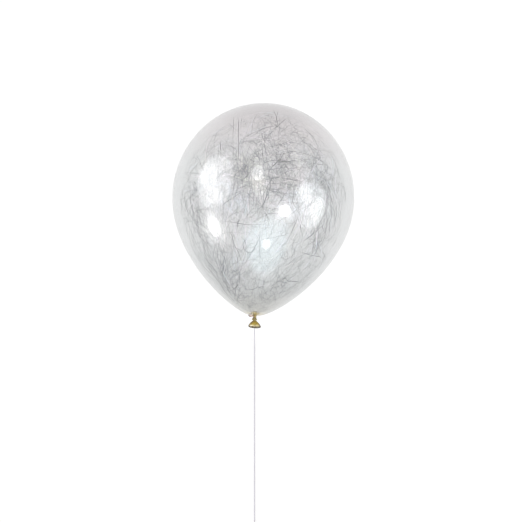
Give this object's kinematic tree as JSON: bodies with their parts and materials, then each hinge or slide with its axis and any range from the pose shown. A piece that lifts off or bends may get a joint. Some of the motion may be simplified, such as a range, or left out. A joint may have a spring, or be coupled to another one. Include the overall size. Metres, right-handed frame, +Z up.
{
  "type": "confetti balloon",
  "caption": "Clear latex balloon filled with fine tinsel, tied at the neck with a long thin string, lying on its side.",
  "frame": {"origin": "on the floor, below the middle of the balloon's box, without the string", "axes": "+Z up; +Y along the balloon's axis towards its crown, with the tail at -Y; the string runs along the floor towards -Y"},
  "size_m": [0.28, 0.7005, 0.2781],
  "materials": {
    "latex": "clear latex film, glossy, amber where it is gathered at the knot and the lip",
    "tinsel": "fine silver and pearl tinsel inside the balloon",
    "thread": "white twisted thread, matte"
  },
  "bodies": {
    "root": {"balloon": "latex", "string_knot": "thread", "string": "thread", "string_coil": "thread", "coil_tie_a": "thread", "coil_tie_b": "thread"}
  },
  "joints": []
}
